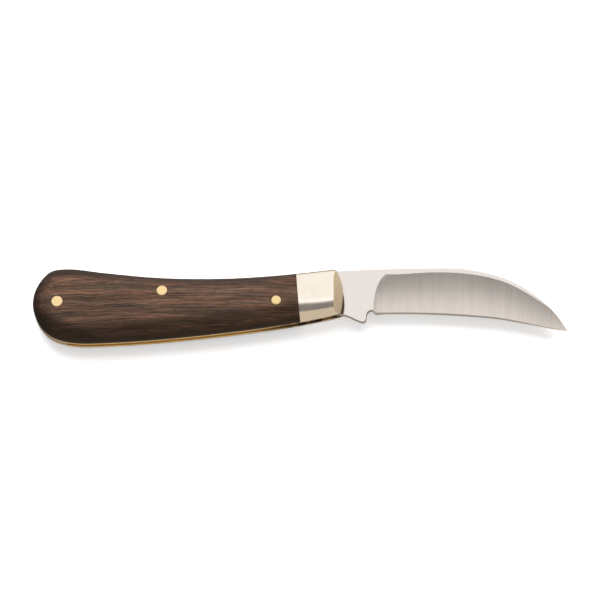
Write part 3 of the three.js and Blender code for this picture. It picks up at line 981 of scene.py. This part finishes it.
def nick_tool():
    """The thin disc that cuts the nail nick, leaning back towards the spine."""
    place_x, place_y, depth = 36, 7.6, 0.75
    radius, half_thickness, lean = 26.0, 0.75, math.radians(24)
    rim_width, rim_drop, sides = 0.25, 0.3, 360
    ring = circle(0, 0, radius, sides)
    narrow = circle(0, 0, radius - rim_drop, sides)
    stack = [(narrow, -half_thickness), (ring, -half_thickness + rim_width)]
    stack += [(ring, half_thickness - rim_width), (narrow, half_thickness)]
    tool = loft("nick", [flat(points, z) for points, z in stack])
    turn = Matrix.Rotation(-lean, 4, "X") @ Matrix.Translation((0, 0, -radius))
    turn = turn @ Matrix.Rotation(math.pi / 2, 4, "X")
    tool.data.transform(Matrix.Translation((place_x, place_y, -BLADE_HALF + depth)) @ turn)
    return tool


def blade_piece():
    """The blade: a thick blank, thinned to its tip, hollow-ground on both faces and drilled."""
    piece = plate("blade_body", blade_outline(), -BLADE_HALF, BLADE_HALF)
    for tool in (taper_tool(), grind_tool()):
        left = mirrored(tool, "left_tool")
        cut(piece, tool)
        cut(piece, left)
    cut(piece, nick_tool())
    drill(piece, ["pivot_pin"], BLADE_BORE_GAP)
    shade(piece, crease_deg=4.5)
    return piece


# ---- Faces that get a material of their own ----------------------------------------------------


def paint_faces(piece, choose):
    """Gives each face the material whose index "choose" returns from its centre and normal."""
    for face in piece.data.polygons:
        centre = (face.center - PIVOT) / MM
        face.material_index = choose(centre, face.normal)
    mesh = bmesh.new()
    mesh.from_mesh(piece.data)
    for edge in mesh.edges:
        if len({beside.material_index for beside in edge.link_faces}) > 1:
            edge.smooth = False
    mesh.to_mesh(piece.data)
    mesh.free()


def bolster_face(centre, normal):
    """0 for the polished dome, 1 for the filed facet and the front end."""
    front_x, facing_forward = 1.5, 0.3
    return 1 if centre.x > front_x and normal.x > facing_forward else 0


def blade_face(centre, normal):
    """0 for the flats, 1 for the ground hollow, 2 for the edges of the blank."""
    facing_sideways, plunge_x, below_flat = 0.5, 16, 0.004
    if abs(normal.z) < facing_sideways:
        return 2
    ground = abs(centre.z) < blade_half(centre.x) - below_flat
    return 1 if ground and centre.x > plunge_x else 0


# ---- Build -------------------------------------------------------------------------------------

WOOD_SHIFTS = {"right": (0, 0, 0), "left": (210, 35, 80)}
wood = {side: wood_material(f"hardwood_{side}", shift) for side, shift in WOOD_SHIFTS.items()}
liner_brass = liner_material()
pin_brass = pin_material()
polished = bolster_material()
filed = facet_material()
flat_steel = flat_steel_material()
ground_steel = ground_steel_material()
dark_steel = dark_steel_material()

right_pieces = [
    ("scale", scale_piece(), "scale_wood", [wood["right"]], [wood["left"]]),
    ("bolster", bolster_piece(), "nickel_silver", [polished, filed], [polished, filed]),
    ("liner", liner_piece(), "liner_brass", [liner_brass], [liner_brass]),
    ("front_pin", pin_piece("front_pin", "right_front_pin", False), "pin_brass", [pin_brass], [pin_brass]),
]
for right_piece in right_pieces:
    settle_both_sides(*right_piece)

settle(spring_piece(), "back_spring", "handle", "spring_steel", dark_steel)
settle(pin_piece("middle_pin_rod", "middle_pin", True), "middle_pin", "handle", "pin_brass", pin_brass)
settle(pin_piece("butt_pin_rod", "butt_pin", True), "butt_pin", "handle", "pin_brass", pin_brass)
settle(blade_piece(), "blade", "blade", "blade_steel", flat_steel, ground_steel, dark_steel)
settle(pivot_piece(), "pivot_pin", "handle", "nickel_silver", polished)

# The rivets' CAD shapes are right, so they stay and only get a better material.
for node in HIDDEN_RIVETS:
    frame["nodes"][node].data.materials.clear()
    frame["nodes"][node].data.materials.append(polished)

paint_faces(bpy.data.objects["right_bolster_body"], bolster_face)
paint_faces(bpy.data.objects["left_bolster_body"], bolster_face)
paint_faces(bpy.data.objects["blade_body"], blade_face)

# ---- Floor, light and camera -------------------------------------------------------------------

# In metres: what the camera looks at and the lights stand round, at the height of the knife's middle.
MIDDLE = Vector((0.00004, 0.00244, PIVOT.z))


def make_floor():
    """A pale table that glows a little, so that only the shadow under the knife is grey."""
    half, drop = 3.0, 0.0001
    corners = [(-half, -half, 0), (half, -half, 0), (half, half, 0), (-half, half, 0)]
    floor = new_object("floor", corners, [(0, 1, 2, 3)])
    floor.location.z = -drop
    floor.visible_glossy = False
    n = Nodes("floor_paper")
    fine = n.noise(n.stretched(0.05, 0.05, 0.05), detail=2)
    material = n.finish(n.ramp(fine, (0.3, 0.88), (0.7, 0.9)), 0.9, Specular_IOR_Level=0.1)
    n.shader.inputs["Emission Color"].default_value = (1, 1, 1, 1)
    n.shader.inputs["Emission Strength"].default_value = 0.36
    # From below the table is clear, so that the knife's other side can be looked at.
    clear = n.add("ShaderNodeBsdfTransparent")
    sided = n.add("ShaderNodeMixShader")
    n.link(n.add("ShaderNodeNewGeometry").outputs["Backfacing"], sided.inputs["Fac"])
    n.link(n.shader.outputs["BSDF"], sided.inputs[1])
    n.link(clear.outputs["BSDF"], sided.inputs[2])
    n.link(sided.outputs["Shader"], n.tree.nodes["Material Output"].inputs["Surface"])
    floor.data.materials.append(material)


def card(name, low_deg, high_deg, radiance, colour=(1, 1, 1)):
    """A card seen in reflections. Its arc is measured from overhead, positive behind the knife."""
    middle = math.radians((low_deg + high_deg) / 2)
    distance, width = 1.0, 2.6
    height = 2 * distance * math.tan(math.radians((high_deg - low_deg) / 2))
    data = bpy.data.lights.new(name, "AREA")
    data.shape = "RECTANGLE"
    data.size = width
    data.size_y = height
    data.energy = radiance * math.pi * width * height
    data.color = colour
    light = bpy.data.objects.new(name, data)
    light.visible_camera = False
    light.visible_diffuse = False
    bpy.context.scene.collection.objects.link(light)
    towards = Vector((0, math.sin(middle), math.cos(middle)))
    light.location = MIDDLE + towards * distance
    light.rotation_euler = towards.to_track_quat("Z", "Y").to_euler()


def tent(name, strength, lean_deg, spread_deg):
    """Even light through the tent's cloth, left out of reflections. A positive lean comes from behind."""
    data = bpy.data.lights.new(name, "SUN")
    data.angle = math.radians(spread_deg)
    data.energy = strength
    light = bpy.data.objects.new(name, data)
    light.rotation_euler = (math.radians(-lean_deg), 0, 0)
    light.visible_glossy = False
    bpy.context.scene.collection.objects.link(light)


def make_lights():
    """A tent of even light, and cards that only show in reflections.

    From overhead to behind the knife they are bright and nearly neutral, and the ones in front and low
    behind are dimmer and warmer. The gap between -29 and -1.5 degrees shows only the dim world, which
    gives the metal its dark bands.
    """
    tent("tent_top", 3.3, 36, 55)
    tent("tent_front", 0.5, -35, 100)
    tent("tent_middle", 0.6, 0, 140)
    card("softbox", 1.5, 50, 0.87, (1.0, 0.985, 0.97))
    card("softbox_rim", 1.5, 8, 0.3)
    card("softbox_edge", -1.5, 1.5, 0.36)
    card("back_card", 50, 108, 0.87, (1.0, 0.985, 0.97))
    card("front_card", -72, -29, 0.43, (1.0, 0.83, 0.57))
    card("low_front_card", -172, -72, 0.43, (1.0, 0.83, 0.57))
    card("low_back_card", 108, 165, 0.18, (1.0, 0.66, 0.34))
    world = bpy.data.worlds.new("studio")
    world.use_nodes = True
    world.node_tree.nodes["Background"].inputs["Color"].default_value = (0.24, 0.235, 0.23, 1)
    bpy.context.scene.world = world


def make_camera():
    """Looks down from the cutting edge's side, with the knife's length level in the picture."""
    tilt, side_lean, distance, view_width = math.radians(16), 0.05, 1.5, 0.19195
    back = Vector((side_lean, -math.tan(tilt), 1)).normalized()
    up = Vector((0, back.z, -back.y)).normalized()
    right = up.cross(back).normalized()
    up = back.cross(right)
    data = bpy.data.cameras.new("camera")
    data.lens = data.sensor_width * distance / view_width
    data.clip_start, data.clip_end = 0.01, 20
    camera = bpy.data.objects.new("camera", data)
    bpy.context.scene.collection.objects.link(camera)
    basis = Matrix((right, up, back)).transposed().to_4x4()
    camera.matrix_world = Matrix.Translation(MIDDLE + back * distance) @ basis
    bpy.context.scene.camera = camera


make_floor()
make_lights()
make_camera()
bpy.context.scene.view_settings.view_transform = "Standard"
